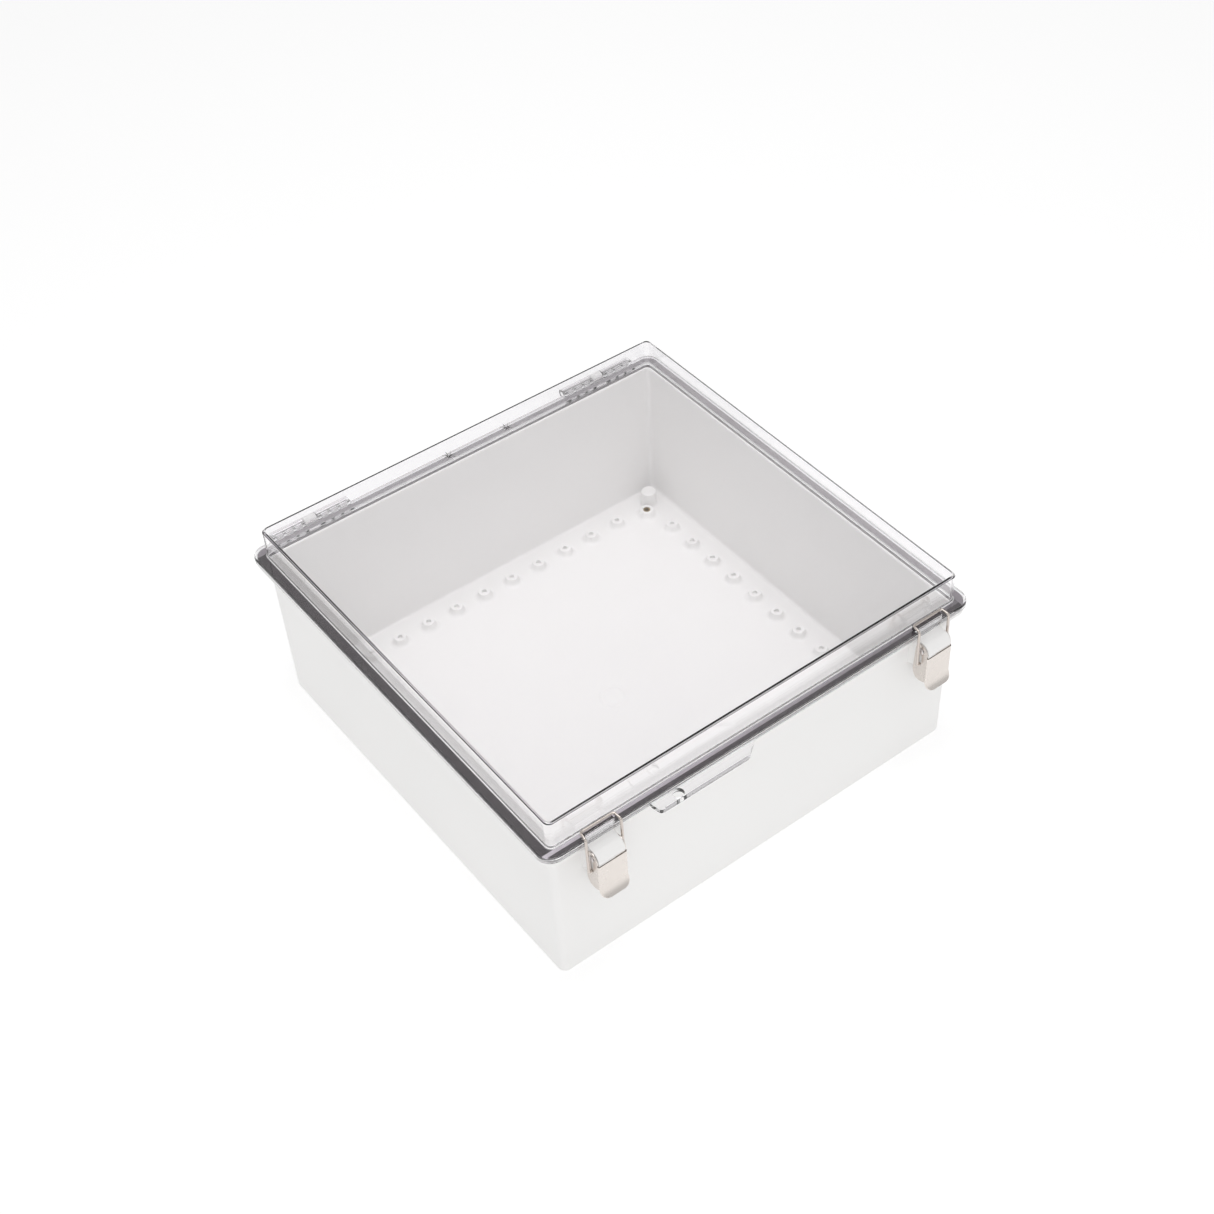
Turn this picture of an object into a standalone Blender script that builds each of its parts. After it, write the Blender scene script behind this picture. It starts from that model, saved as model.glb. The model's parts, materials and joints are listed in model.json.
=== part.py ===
"""Square hinged enclosure: light grey tray with mounting bosses and a clear latched lid.

Frame: origin at the centre of the underside, +Z up, latches on the -Y side, hinges on the +Y side.
All driving dimensions are in millimetres and are turned into metres by mm().
"""
import math

import bmesh
import bpy
from mathutils import Matrix, Vector

# ---------------------------------------------------------------- driving dimensions (mm)
CORNER_STEPS = 5                # facets in each rounded corner

TRAY_HALF_FOOT = 190.0          # outer half width just above the underside
TRAY_HALF_TOP = 190.6           # outer half width under the rim (moulding draft)
TRAY_INNER_FLOOR = 186.5        # inner half width at the floor
TRAY_INNER_TOP = 187.1          # inner half width at the rim
RIM_HALF = 198.0                # outer half width of the rim
RIM_LOW = 139.3
RIM_LEDGE = 143.3
RIM_SEAT_HALF = 196.2           # the raised seat under the gasket
RIM_TOP = 144.0
FLOOR_TOP = 10.0
FLOOR_UNDER = 6.0               # ceiling of the shallow recess in the underside
RECESS_HALF = 177.0
RECESS_CORNER_CUT = 27.0
CENTRE_PAD_R = 20.0

BOSS_TOP = 16.3
BOSS_ROW = 164.7                # distance of each boss row from the centre
BOSS_PITCH = 28.78
BOSSES_PER_ROW = 10
BOSS_HOLE_R = 2.1
PANEL_BOSS_AT = 158.8           # the four larger bosses with metal inserts
PANEL_HOLE_R = 3.4
POST_AT = 169.5                 # the four plain corner posts above the underside sockets
POST_TOP = 25.0
SOCKET_R = 3.8
SOCKET_DEPTH = 12.0

DOME_HALF = 190.0               # clear lid, raised part
DOME_INNER = 187.0
DOME_TOP = 174.45
DOME_CEILING = 171.2
FLANGE_HALF = 199.5
FLANGE_TOP = 149.0
FLANGE_UNDER = 146.5
SKIRT_INNER = 197.0
SKIRT_LOW = 143.8
RIB_INNER = 188.3
RIB_OUTER = 190.3
RIB_LOW = 144.6

GASKET_INNER = 190.8
GASKET_OUTER = 196.3
GASKET_LOW = 144.3
GASKET_TOP = 146.2

HINGE_Y = 203.8                 # hinge axis, parallel to X
HINGE_Z = 146.3
KNUCKLE_R = 4.0
HINGE_BORE_R = 2.1
HINGE_PIN_R = 1.75
LID_KNUCKLES = ((106.7, 136.5), (148.3, 177.6))
TRAY_KNUCKLE = (137.3, 147.5)
HINGE_PIN_SPAN = (108.0, 176.0)

LATCH_X = 154.25                # latch centre, left and right
LEVER_PIVOT = (-205.0, 134.5)   # Y, Z
BAIL_PIVOT = (-204.3, 121.0)
EAR_INNER = 11.6
EAR_OUTER = 12.4
PLATE_FRONT = -212.5
PLATE_BACK = -211.7
PEDESTAL_HALF = 11.3
PEDESTAL_R = 7.2                # the lever's plate swings round this with clearance
PIVOT_BORE_R = 1.85
SLOT_HALF = 1.7                 # slot in each cheek, up from the wire's end
SLOT_TOP = 129.2
PIVOT_PIN_R = 1.5
WIRE_R = 1.1
BAIL_LEG_X = 15.0
CATCH_TOP = 154.4
CATCH_HALF = 12.5

TAB_LOW = 141.8                 # grab tab with the padlock hole, left of centre only
TAB_TOP = 145.5
TAB_HOLE = (-90.0, -204.2)
TAB_HOLE_R = 4.3


def mm(value):
    """Millimetres to metres."""
    return value * 0.001


# ---------------------------------------------------------------- scene set-up
for old in list(bpy.data.objects):
    bpy.data.objects.remove(old, do_unlink=True)

PARTS = bpy.data.collections.new("latched_enclosure")
TOOLS = bpy.data.collections.new("cutters_and_unions")
bpy.context.scene.collection.children.link(PARTS)
bpy.context.scene.collection.children.link(TOOLS)


# ---------------------------------------------------------------- materials
def material(name, colour, roughness, metallic=0.0, alpha=1.0):
    """One Principled material."""
    mat = bpy.data.materials.new(name)
    mat.use_nodes = True
    shader = mat.node_tree.nodes["Principled BSDF"]
    shader.inputs["Base Color"].default_value = (*colour, 1.0)
    shader.inputs["Roughness"].default_value = roughness
    shader.inputs["Metallic"].default_value = metallic
    shader.inputs["Alpha"].default_value = alpha
    return mat


MAT_TRAY = material("light_grey_tray", (0.80, 0.80, 0.78), 0.45)
MAT_LID = material("clear_lid", (0.93, 0.94, 0.95), 0.08, 0.0, 0.3)
MAT_GASKET = material("grey_gasket", (0.33, 0.33, 0.34), 0.75)
MAT_STEEL = material("stainless_latch", (0.78, 0.75, 0.72), 0.28, 1.0)
MAT_PIN = material("stainless_pin", (0.70, 0.70, 0.70), 0.30, 1.0)
MAT_BRASS = material("brass_insert", (0.66, 0.50, 0.26), 0.35, 1.0)


# ---------------------------------------------------------------- helpers
def add_object(name, mesh, collection, mat=None):
    """Put a mesh in the scene, as a part or as a helper that is never a part."""
    obj = bpy.data.objects.new(name, mesh)
    collection.objects.link(obj)
    if collection is TOOLS:
        obj.hide_render = True
        obj.display_type = "WIRE"
    if mat is not None:
        mesh.materials.append(mat)
    return obj


def mesh_from_bmesh(name, bm):
    """Close off a bmesh into a mesh whose faces point outwards."""
    bmesh.ops.recalc_face_normals(bm, faces=bm.faces)
    mesh = bpy.data.meshes.new(name)
    bm.to_mesh(mesh)
    bm.free()
    return mesh


def rounded_square(half, radius, z):
    """Outline of a square with rounded corners, as points at height z."""
    points = []
    inner = half - radius
    for corner in range(4):
        start = corner * math.pi / 2.0
        cx = inner * (1 if corner in (0, 3) else -1)
        cy = inner * (1 if corner in (0, 1) else -1)
        for step in range(CORNER_STEPS + 1):
            angle = start + step * math.pi / 2.0 / CORNER_STEPS
            points.append((cx + radius * math.cos(angle), cy + radius * math.sin(angle), z))
    return points


def cut_square(half, cut, z):
    """Outline of a square with straight cut corners, with as many points as rounded_square."""
    points = []
    ends = [((half, half - cut), (half - cut, half))]
    ends.append(((-half + cut, half), (-half, half - cut)))
    ends.append(((-half, -half + cut), (-half + cut, -half)))
    ends.append(((half - cut, -half), (half, -half + cut)))
    for first, last in ends:
        for step in range(CORNER_STEPS + 1):
            t = step / CORNER_STEPS
            points.append((first[0] + (last[0] - first[0]) * t, first[1] + (last[1] - first[1]) * t, z))
    return points


def loft(name, sections, collection, closed=False, mat=None):
    """Skin a run of outlines with the same number of points; ends are capped unless it is a ring."""
    bm = bmesh.new()
    rings = []
    for section in sections:
        rings.append([bm.verts.new((mm(p[0]), mm(p[1]), mm(p[2]))) for p in section])
    pairs = list(zip(rings, rings[1:]))
    if closed:
        pairs.append((rings[-1], rings[0]))
    for lower, upper in pairs:
        count = len(lower)
        for i in range(count):
            j = (i + 1) % count
            bm.faces.new((lower[i], lower[j], upper[j], upper[i]))
    if not closed:
        bm.faces.new(rings[0])
        bm.faces.new(rings[-1])
    return add_object(name, mesh_from_bmesh(name, bm), collection, mat)


def block(name, low, high, collection, bevel=0.0, mat=None):
    """A box between two corners, with all edges rounded when bevel is given."""
    bm = bmesh.new()
    bmesh.ops.create_cube(bm, size=1.0)
    for vert in bm.verts:
        for axis in range(3):
            vert.co[axis] = mm(high[axis] if vert.co[axis] > 0 else low[axis])
    if bevel > 0.0:
        bmesh.ops.bevel(bm, geom=bm.edges[:], offset=mm(bevel), segments=2, affect="EDGES", profile=0.5)
    return add_object(name, mesh_from_bmesh(name, bm), collection, mat)


def rod(name, radius, start, end, centre, collection, sides=16, mat=None):
    """A cylinder along X from start to end, centred on centre = (Y, Z)."""
    bm = bmesh.new()
    length = end - start
    bmesh.ops.create_cone(bm, cap_ends=True, segments=sides, radius1=mm(radius), radius2=mm(radius),
                          depth=mm(length))
    turn = Matrix.Rotation(math.pi / 2.0, 4, "Y")
    move = Matrix.Translation(Vector((mm((start + end) / 2.0), mm(centre[0]), mm(centre[1]))))
    bmesh.ops.transform(bm, matrix=move @ turn, verts=bm.verts)
    return add_object(name, mesh_from_bmesh(name, bm), collection, mat)


def turned_mesh(name, profile, sides):
    """A profile of (radius, height) points turned about Z with a Screw modifier, as a mesh."""
    bm = bmesh.new()
    verts = [bm.verts.new((mm(r), 0.0, mm(z))) for r, z in profile]
    for a, b in zip(verts, verts[1:]):
        bm.edges.new((a, b))
    mesh = bpy.data.meshes.new(name + "_profile")
    bm.to_mesh(mesh)
    bm.free()
    obj = bpy.data.objects.new(name + "_profile", mesh)
    TOOLS.objects.link(obj)
    screw = obj.modifiers.new("turn", "SCREW")
    screw.angle = 2.0 * math.pi
    screw.steps = sides
    screw.render_steps = sides
    screw.use_merge_vertices = True
    screw.merge_threshold = 0.00001
    screw.use_smooth_shade = False
    graph = bpy.context.evaluated_depsgraph_get()
    turned = bpy.data.meshes.new_from_object(obj.evaluated_get(graph))
    bpy.data.objects.remove(obj, do_unlink=True)
    bm = bmesh.new()
    bm.from_mesh(turned)
    bmesh.ops.remove_doubles(bm, verts=bm.verts, dist=0.00001)
    mesh = mesh_from_bmesh(name, bm)
    bpy.data.meshes.remove(turned)
    return mesh


def scatter(name, mesh, places, collection):
    """Copies of one mesh at several places, joined as one helper object."""
    bm = bmesh.new()
    for x, y in places:
        copy = mesh.copy()
        copy.transform(Matrix.Translation(Vector((mm(x), mm(y), 0.0))))
        bm.from_mesh(copy)
        bpy.data.meshes.remove(copy)
    return add_object(name, mesh_from_bmesh(name, bm), collection)


def curve_to_mesh(name, curve, matrix, collection, mat=None):
    """Turn a curve into a welded mesh object and drop the curve."""
    obj = bpy.data.objects.new(name + "_curve", curve)
    TOOLS.objects.link(obj)
    graph = bpy.context.evaluated_depsgraph_get()
    raw = bpy.data.meshes.new_from_object(obj.evaluated_get(graph))
    bpy.data.objects.remove(obj, do_unlink=True)
    bpy.data.curves.remove(curve)
    bm = bmesh.new()
    bm.from_mesh(raw)
    bpy.data.meshes.remove(raw)
    bmesh.ops.remove_doubles(bm, verts=bm.verts, dist=0.000005)
    bmesh.ops.transform(bm, matrix=matrix, verts=bm.verts)
    return add_object(name, mesh_from_bmesh(name, bm), collection, mat)


def sheet(name, outline, thickness, matrix, collection, mat=None):
    """A flat outline with a thickness, drawn in XY and placed by matrix."""
    curve = bpy.data.curves.new(name, "CURVE")
    curve.dimensions = "2D"
    curve.fill_mode = "BOTH"
    curve.extrude = mm(thickness) / 2.0
    curve.render_resolution_u = 0
    spline = curve.splines.new("POLY")
    spline.points.add(len(outline) - 1)
    spline.use_cyclic_u = True
    for point, (x, y) in zip(spline.points, outline):
        point.co = (mm(x), mm(y), 0.0, 1.0)
    return curve_to_mesh(name, curve, matrix, collection, mat)


def side_sheet(name, outline, low_x, high_x, collection, mat=None):
    """A (Y, Z) outline given a thickness along X, from low_x to high_x."""
    turn = Matrix(((0, 0, 1, mm((low_x + high_x) / 2.0)), (1, 0, 0, 0), (0, 1, 0, 0), (0, 0, 0, 1)))
    return sheet(name, outline, high_x - low_x, turn, collection, mat)


def bent_path(corners, radius, steps=4):
    """The points of a wire that runs straight between corners and bends round each of them."""
    points = [Vector(corners[0])]
    for before, here, after in zip(corners, corners[1:], corners[2:]):
        corner = Vector(here)
        back = (Vector(before) - corner)
        ahead = (Vector(after) - corner)
        reach = min(radius, back.length * 0.45, ahead.length * 0.45)
        start = corner + back.normalized() * reach
        end = corner + ahead.normalized() * reach
        for step in range(steps + 1):
            t = step / steps
            points.append(start.lerp(corner, t).lerp(corner.lerp(end, t), t))
    points.append(Vector(corners[-1]))
    return points


def wire(name, points, radius, collection, mat=None):
    """A round wire through the points."""
    curve = bpy.data.curves.new(name, "CURVE")
    curve.dimensions = "3D"
    curve.bevel_depth = mm(radius)
    curve.bevel_resolution = 2
    curve.use_fill_caps = True
    curve.render_resolution_u = 0
    spline = curve.splines.new("POLY")
    spline.points.add(len(points) - 1)
    for point, place in zip(spline.points, points):
        point.co = (mm(place[0]), mm(place[1]), mm(place[2]), 1.0)
    return curve_to_mesh(name, curve, Matrix.Identity(4), collection, mat)


def join(target, helper, operation="UNION"):
    """Add a Boolean modifier; the helper stays in the helpers' collection."""
    modifier = target.modifiers.new(helper.name, "BOOLEAN")
    modifier.operation = operation
    modifier.solver = "EXACT"
    modifier.object = helper


def put_origin(obj, place):
    """Move an object's origin to a place without moving its shape."""
    offset = Vector((mm(place[0]), mm(place[1]), mm(place[2])))
    obj.data.transform(Matrix.Translation(-offset))
    obj.location = offset


def pivot_empty(name, place, parent=None):
    """An empty on a joint's axis."""
    empty = bpy.data.objects.new(name, None)
    empty.empty_display_size = 0.01
    PARTS.objects.link(empty)
    empty.location = Vector((mm(place[0]), mm(place[1]), mm(place[2])))
    if parent is not None:
        empty.parent = parent
        empty.location = empty.location - parent.location
    return empty


def hang_from(obj, empty, place):
    """Parent an object to the empty at its joint and put its origin there."""
    put_origin(obj, place)
    obj.parent = empty
    obj.location = (0.0, 0.0, 0.0)


# ---------------------------------------------------------------- tray
def row_places():
    """Centres of the small bosses: one row along each wall."""
    first = -BOSS_PITCH * (BOSSES_PER_ROW - 1) / 2.0
    along = [first + BOSS_PITCH * i for i in range(BOSSES_PER_ROW)]
    places = [(a, BOSS_ROW) for a in along] + [(a, -BOSS_ROW) for a in along]
    places += [(BOSS_ROW, a) for a in along] + [(-BOSS_ROW, a) for a in along]
    return places


def corner_places(distance):
    """Four places on the diagonals."""
    return [(sx * distance, sy * distance) for sx in (-1, 1) for sy in (-1, 1)]


def tray_shell():
    """Walls, floor, underside recess and rim in one skin."""
    sections = [
        cut_square(RECESS_HALF - 0.8, RECESS_CORNER_CUT, FLOOR_UNDER),
        cut_square(RECESS_HALF, RECESS_CORNER_CUT, 0.0),
        rounded_square(TRAY_HALF_FOOT - 3.0, 4.5, 0.0),
        rounded_square(TRAY_HALF_FOOT - 0.9, 5.5, 0.9),
        rounded_square(TRAY_HALF_FOOT, 6.0, 3.0),
        rounded_square(TRAY_HALF_TOP, 6.3, 134.0),
        rounded_square(TRAY_HALF_TOP + 1.6, 7.5, 135.4),
        rounded_square(RIM_HALF - 2.4, 9.6, 137.0),
        rounded_square(RIM_HALF, 11.0, RIM_LOW),
        rounded_square(RIM_HALF, 11.0, RIM_LEDGE),
        rounded_square(RIM_SEAT_HALF, 9.5, RIM_LEDGE),
        rounded_square(RIM_SEAT_HALF, 9.5, RIM_TOP),
        rounded_square(TRAY_INNER_TOP, 4.0, RIM_TOP),
        rounded_square(TRAY_INNER_FLOOR, 3.6, FLOOR_TOP + 2.0),
        rounded_square(TRAY_INNER_FLOOR - 0.6, 3.2, FLOOR_TOP + 0.6),
        rounded_square(TRAY_INNER_FLOOR - 2.0, 2.6, FLOOR_TOP),
    ]
    return loft("base_tray", sections, PARTS, mat=MAT_TRAY)


def tray_bosses(tray):
    """Small screw bosses, larger insert bosses and corner posts."""
    foot = FLOOR_TOP - 0.7
    small = [(0.0, foot), (8.2, foot), (8.2, FLOOR_TOP), (6.1, 11.7), (5.1, 15.7), (4.6, BOSS_TOP)]
    small += [(BOSS_HOLE_R + 0.2, BOSS_TOP), (BOSS_HOLE_R, FLOOR_TOP - 0.3), (0.0, FLOOR_TOP - 0.3)]
    join(tray, scatter("small_bosses", turned_mesh("small_boss", small, 10), row_places(), TOOLS))
    large = [(0.0, foot), (10.6, foot), (10.6, FLOOR_TOP), (7.9, 11.7), (6.0, 15.6), (5.4, BOSS_TOP)]
    large += [(0.0, BOSS_TOP)]
    join(tray, scatter("panel_bosses", turned_mesh("panel_boss", large, 16),
                       corner_places(PANEL_BOSS_AT), TOOLS))
    post = [(0.0, foot), (8.4, foot), (8.4, FLOOR_TOP), (7.0, 11.2), (6.7, 24.2), (5.9, POST_TOP)]
    post += [(0.0, POST_TOP)]
    join(tray, scatter("corner_posts", turned_mesh("corner_post", post, 16),
                       corner_places(POST_AT), TOOLS))
    pad = [(0.0, 0.0), (CENTRE_PAD_R, 0.0), (CENTRE_PAD_R, FLOOR_UNDER + 0.6), (0.0, FLOOR_UNDER + 0.6)]
    join(tray, scatter("centre_pad", turned_mesh("pad", pad, 24), [(0.0, 0.0)], TOOLS))


def tray_pockets(tray):
    """Pockets for the metal inserts, from above in the large bosses and from below in the corners."""
    pocket = [(0.0, FLOOR_TOP - 1.0), (PANEL_HOLE_R, FLOOR_TOP - 1.0), (PANEL_HOLE_R, BOSS_TOP + 1.0)]
    pocket += [(0.0, BOSS_TOP + 1.0)]
    join(tray, scatter("panel_pockets", turned_mesh("panel_pocket", pocket, 16),
                       corner_places(PANEL_BOSS_AT), TOOLS), "DIFFERENCE")
    socket = [(0.0, -1.0), (SOCKET_R, -1.0), (SOCKET_R, SOCKET_DEPTH), (0.0, SOCKET_DEPTH)]
    join(tray, scatter("underside_sockets", turned_mesh("socket", socket, 16),
                       corner_places(POST_AT), TOOLS), "DIFFERENCE")


def tray_hinge(tray, side):
    """One hinge seat: a bracket under the lid's flange and the knuckle on it."""
    low, high = sorted((side * TRAY_KNUCKLE[0], side * TRAY_KNUCKLE[1]))
    tag = "right" if side > 0 else "left"
    bracket = [(196.0, 137.6), (205.2, 137.6), (207.8, 140.4), (207.8, HINGE_Z), (199.9, HINGE_Z)]
    bracket += [(199.9, 143.4), (196.0, 143.4)]
    join(tray, side_sheet("hinge_bracket_" + tag, bracket, low, high, TOOLS))
    join(tray, rod("tray_knuckle_" + tag, KNUCKLE_R, low, high, (HINGE_Y, HINGE_Z), TOOLS, 16))
    join(tray, rod("tray_bore_" + tag, HINGE_BORE_R, low - 1.0, high + 1.0, (HINGE_Y, HINGE_Z), TOOLS, 16),
         "DIFFERENCE")


def pedestal_outline():
    """Side view of the block that carries one latch, round where the lever's plate swings past."""
    y0, z0 = LEVER_PIVOT
    points = [(-189.0, 110.0), (-189.0, 142.6), (-198.0, 142.6), (y0 + 0.5, z0 + PEDESTAL_R)]
    for step in range(7):
        angle = math.radians(92.0 + step * 112.0 / 6.0)
        points.append((y0 + PEDESTAL_R * math.cos(angle), z0 + PEDESTAL_R * math.sin(angle)))
    points += [(-208.5, 127.0), (-197.0, 113.5)]
    return points


def tray_pedestal(tray, side):
    """The block that carries one latch."""
    tag = "right" if side > 0 else "left"
    centre = side * LATCH_X
    low = centre - PEDESTAL_HALF
    high = centre + PEDESTAL_HALF
    join(tray, side_sheet("latch_pedestal_" + tag, pedestal_outline(), low, high, TOOLS))
    join(tray, rod("pedestal_bore_" + tag, PIVOT_BORE_R, low - 1.0, high + 1.0, LEVER_PIVOT, TOOLS, 14),
         "DIFFERENCE")


def base_tray():
    """The whole tray."""
    tray = tray_shell()
    tray_bosses(tray)
    for side in (-1, 1):
        tray_hinge(tray, side)
        tray_pedestal(tray, side)
    tray_pockets(tray)
    return tray


# ---------------------------------------------------------------- lid
def lid_shell():
    """Raised clear cover, flange, skirt and inner rib in one skin."""
    sections = [
        rounded_square(DOME_INNER - 2.4, 2.8, DOME_CEILING),
        rounded_square(DOME_INNER - 0.7, 3.2, DOME_CEILING - 0.7),
        rounded_square(DOME_INNER, 3.5, DOME_CEILING - 2.4),
        rounded_square(DOME_INNER, 3.5, FLANGE_UNDER),
        rounded_square(RIB_INNER, 4.2, FLANGE_UNDER),
        rounded_square(RIB_INNER, 4.2, RIB_LOW),
        rounded_square(RIB_OUTER, 5.6, RIB_LOW),
        rounded_square(RIB_OUTER, 5.6, FLANGE_UNDER),
        rounded_square(SKIRT_INNER, 10.0, FLANGE_UNDER),
        rounded_square(SKIRT_INNER, 10.0, SKIRT_LOW),
        rounded_square(FLANGE_HALF, 12.0, SKIRT_LOW),
        rounded_square(FLANGE_HALF, 12.0, FLANGE_TOP - 2.1),
        rounded_square(FLANGE_HALF - 0.7, 11.5, FLANGE_TOP - 0.8),
        rounded_square(FLANGE_HALF - 2.4, 10.6, FLANGE_TOP),
        rounded_square(DOME_HALF + 1.5, 6.0, FLANGE_TOP),
        rounded_square(DOME_HALF + 0.4, 5.3, FLANGE_TOP + 0.4),
        rounded_square(DOME_HALF, 5.0, FLANGE_TOP + 1.5),
        rounded_square(DOME_HALF, 5.0, DOME_TOP - 1.2),
        rounded_square(DOME_HALF - 0.35, 4.8, DOME_TOP - 0.35),
        rounded_square(DOME_HALF - 1.2, 4.4, DOME_TOP),
    ]
    return loft("clear_lid", sections, PARTS, mat=MAT_LID)


def lid_knuckles(lid):
    """The lid's four hinge knuckles, each on a block that grows out of the flange, with one bore each side."""
    for side in (-1, 1):
        tag = "right" if side > 0 else "left"
        for number, span in enumerate(LID_KNUCKLES):
            low, high = sorted((side * span[0], side * span[1]))
            name = "lid_knuckle_%s_%d" % (tag, number)
            join(lid, block(name + "_block", (low, 197.6, 144.3), (high, HINGE_Y, 150.3), TOOLS))
            join(lid, rod(name, KNUCKLE_R, low, high, (HINGE_Y, HINGE_Z), TOOLS, 16))
        low, high = sorted((side * (LID_KNUCKLES[0][0] - 1.0), side * (LID_KNUCKLES[1][1] + 1.0)))
        join(lid, rod("lid_bore_" + tag, HINGE_BORE_R, low, high, (HINGE_Y, HINGE_Z), TOOLS, 16), "DIFFERENCE")


def lid_catches(lid):
    """The blocks on the flange that the wire bails pull down on."""
    for side in (-1, 1):
        tag = "right" if side > 0 else "left"
        centre = side * LATCH_X
        low = (centre - CATCH_HALF, -199.4, 147.6)
        high = (centre + CATCH_HALF, -193.0, CATCH_TOP)
        join(lid, block("lid_catch_" + tag, low, high, TOOLS, 0.6))


def lid_tab(lid):
    """The grab tab on the front edge, left of centre, and its padlock hole."""
    outline = [(-111.0, -198.6), (-111.0, -201.0), (-108.6, -207.6), (-106.0, -209.6), (-31.0, -209.6)]
    outline += [(-28.4, -208.2), (-16.0, -198.6)]
    place = Matrix.Translation(Vector((0.0, 0.0, mm((TAB_LOW + TAB_TOP) / 2.0))))
    join(lid, sheet("grab_tab", outline, TAB_TOP - TAB_LOW, place, TOOLS))
    hole = [(0.0, TAB_LOW - 1.0), (TAB_HOLE_R, TAB_LOW - 1.0), (TAB_HOLE_R, TAB_TOP + 0.9)]
    hole += [(0.0, TAB_TOP + 0.9)]
    join(lid, scatter("padlock_hole", turned_mesh("padlock", hole, 20), [TAB_HOLE], TOOLS), "DIFFERENCE")


def lid_gate_marks(lid):
    """Two small star-shaped moulding marks on the top, near the hinge side."""
    for x in (-28.0, 28.0):
        outline = []
        for step in range(16):
            radius = 3.5 if step % 2 == 0 else 1.5
            angle = step * math.pi / 8.0
            outline.append((x + radius * math.cos(angle), 168.7 + radius * math.sin(angle)))
        place = Matrix.Translation(Vector((0.0, 0.0, mm(DOME_TOP - 0.15))))
        join(lid, sheet("gate_mark_%s" % ("right" if x > 0 else "left"), outline, 0.8, place, TOOLS))


def clear_lid():
    """The whole lid."""
    lid = lid_shell()
    lid_knuckles(lid)
    lid_catches(lid)
    lid_tab(lid)
    lid_gate_marks(lid)
    return lid


def lid_gasket():
    """Soft seal in the channel between the lid's rib and its skirt."""
    sections = [
        rounded_square(GASKET_INNER, 5.9, GASKET_LOW),
        rounded_square(GASKET_OUTER, 9.5, GASKET_LOW),
        rounded_square(GASKET_OUTER, 9.5, GASKET_TOP),
        rounded_square(GASKET_INNER, 5.9, GASKET_TOP),
    ]
    return loft("lid_gasket", sections, PARTS, closed=True, mat=MAT_GASKET)


def hinge_pin(side):
    """The steel pin of one hinge, with chamfered ends."""
    tag = "right" if side > 0 else "left"
    length = HINGE_PIN_SPAN[1] - HINGE_PIN_SPAN[0]
    profile = [(0.0, 0.0), (HINGE_PIN_R - 0.4, 0.0), (HINGE_PIN_R, 0.4), (HINGE_PIN_R, length - 0.4)]
    profile += [(HINGE_PIN_R - 0.4, length), (0.0, length)]
    mesh = turned_mesh("hinge_pin", profile, 14)
    mesh.transform(Matrix.Rotation(math.pi / 2.0, 4, "Y"))
    pin = add_object("hinge_pin_" + tag, mesh, PARTS, MAT_PIN)
    start = HINGE_PIN_SPAN[0] if side > 0 else -HINGE_PIN_SPAN[1]
    pin.location = (mm(start), mm(HINGE_Y), mm(HINGE_Z))
    return pin


# ---------------------------------------------------------------- latches
def ear_outline():
    """Side view of one cheek of the lever."""
    y0, z0 = LEVER_PIVOT
    points = [(-197.7, 111.4), (-201.4, 103.6), (-208.0, 103.9), (PLATE_FRONT + 0.1, 105.4)]
    points += [(PLATE_FRONT + 0.1, 131.0), (-210.9, 136.0)]
    for degrees in (118.0, 95.0, 70.0, 45.0, 20.0):
        angle = math.radians(degrees)
        points.append((y0 + 6.0 * math.cos(angle), z0 + 6.0 * math.sin(angle)))
    points += [(-198.9, 133.0)]
    return points


def slot_outline():
    """Side view of the slot in a cheek; the wire's end turns in its lower end."""
    y1, z1 = BAIL_PIVOT
    points = []
    for rise, start in ((SLOT_TOP, 0.0), (z1, math.pi)):
        for step in range(8):
            angle = start + math.pi * step / 7.0
            points.append((y1 + SLOT_HALF * math.cos(angle), rise + SLOT_HALF * math.sin(angle)))
    return points


def lever_plate(centre, name):
    """Front plate of the lever, with its narrower flared tip."""
    sections = []
    for z, front, back, half in ((131.0, PLATE_FRONT, PLATE_BACK, EAR_OUTER),
                                 (105.0, PLATE_FRONT, PLATE_BACK, EAR_OUTER),
                                 (103.2, PLATE_FRONT - 0.3, PLATE_BACK - 0.2, 12.0),
                                 (100.4, PLATE_FRONT - 1.5, PLATE_BACK - 1.3, 10.9),
                                 (97.6, PLATE_FRONT - 3.8, PLATE_BACK - 3.4, 9.0)):
        sections.append([(centre - half, front, z), (centre + half, front, z),
                         (centre + half, back, z), (centre - half, back, z)])
    return loft(name, sections, PARTS, mat=MAT_STEEL)


def latch_lever(side, empty):
    """The over-centre lever: a front plate folded back into two cheeks."""
    tag = "right" if side > 0 else "left"
    centre = side * LATCH_X
    lever = lever_plate(centre, "latch_lever_" + tag)
    for number, (low, high) in enumerate(((-EAR_OUTER, -EAR_INNER), (EAR_INNER, EAR_OUTER))):
        name = "lever_cheek_%s_%d" % (tag, number)
        join(lever, side_sheet(name, ear_outline(), centre + low, centre + high, TOOLS))
    join(lever, rod("lever_pivot_hole_" + tag, PIVOT_BORE_R, centre - 14.0, centre + 14.0, LEVER_PIVOT,
                    TOOLS, 14), "DIFFERENCE")
    join(lever, side_sheet("lever_slot_" + tag, slot_outline(), centre - 14.0, centre + 14.0, TOOLS), "DIFFERENCE")
    hang_from(lever, empty, (centre, LEVER_PIVOT[0], LEVER_PIVOT[1]))
    return lever


def bail_points(centre):
    """The bent wire from one cheek, up, over the catch and down to the other cheek."""
    y1, z1 = BAIL_PIVOT
    half = [(EAR_INNER + 0.15, y1, z1), (BAIL_LEG_X, y1, z1), (BAIL_LEG_X, -203.4, 155.1)]
    half += [(BAIL_LEG_X - 0.9, -196.1, 155.8)]
    right = [(centre + x, y, z) for x, y, z in half]
    left = [(centre - x, y, z) for x, y, z in reversed(half)]
    return bent_path(right + left, 2.4)


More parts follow.
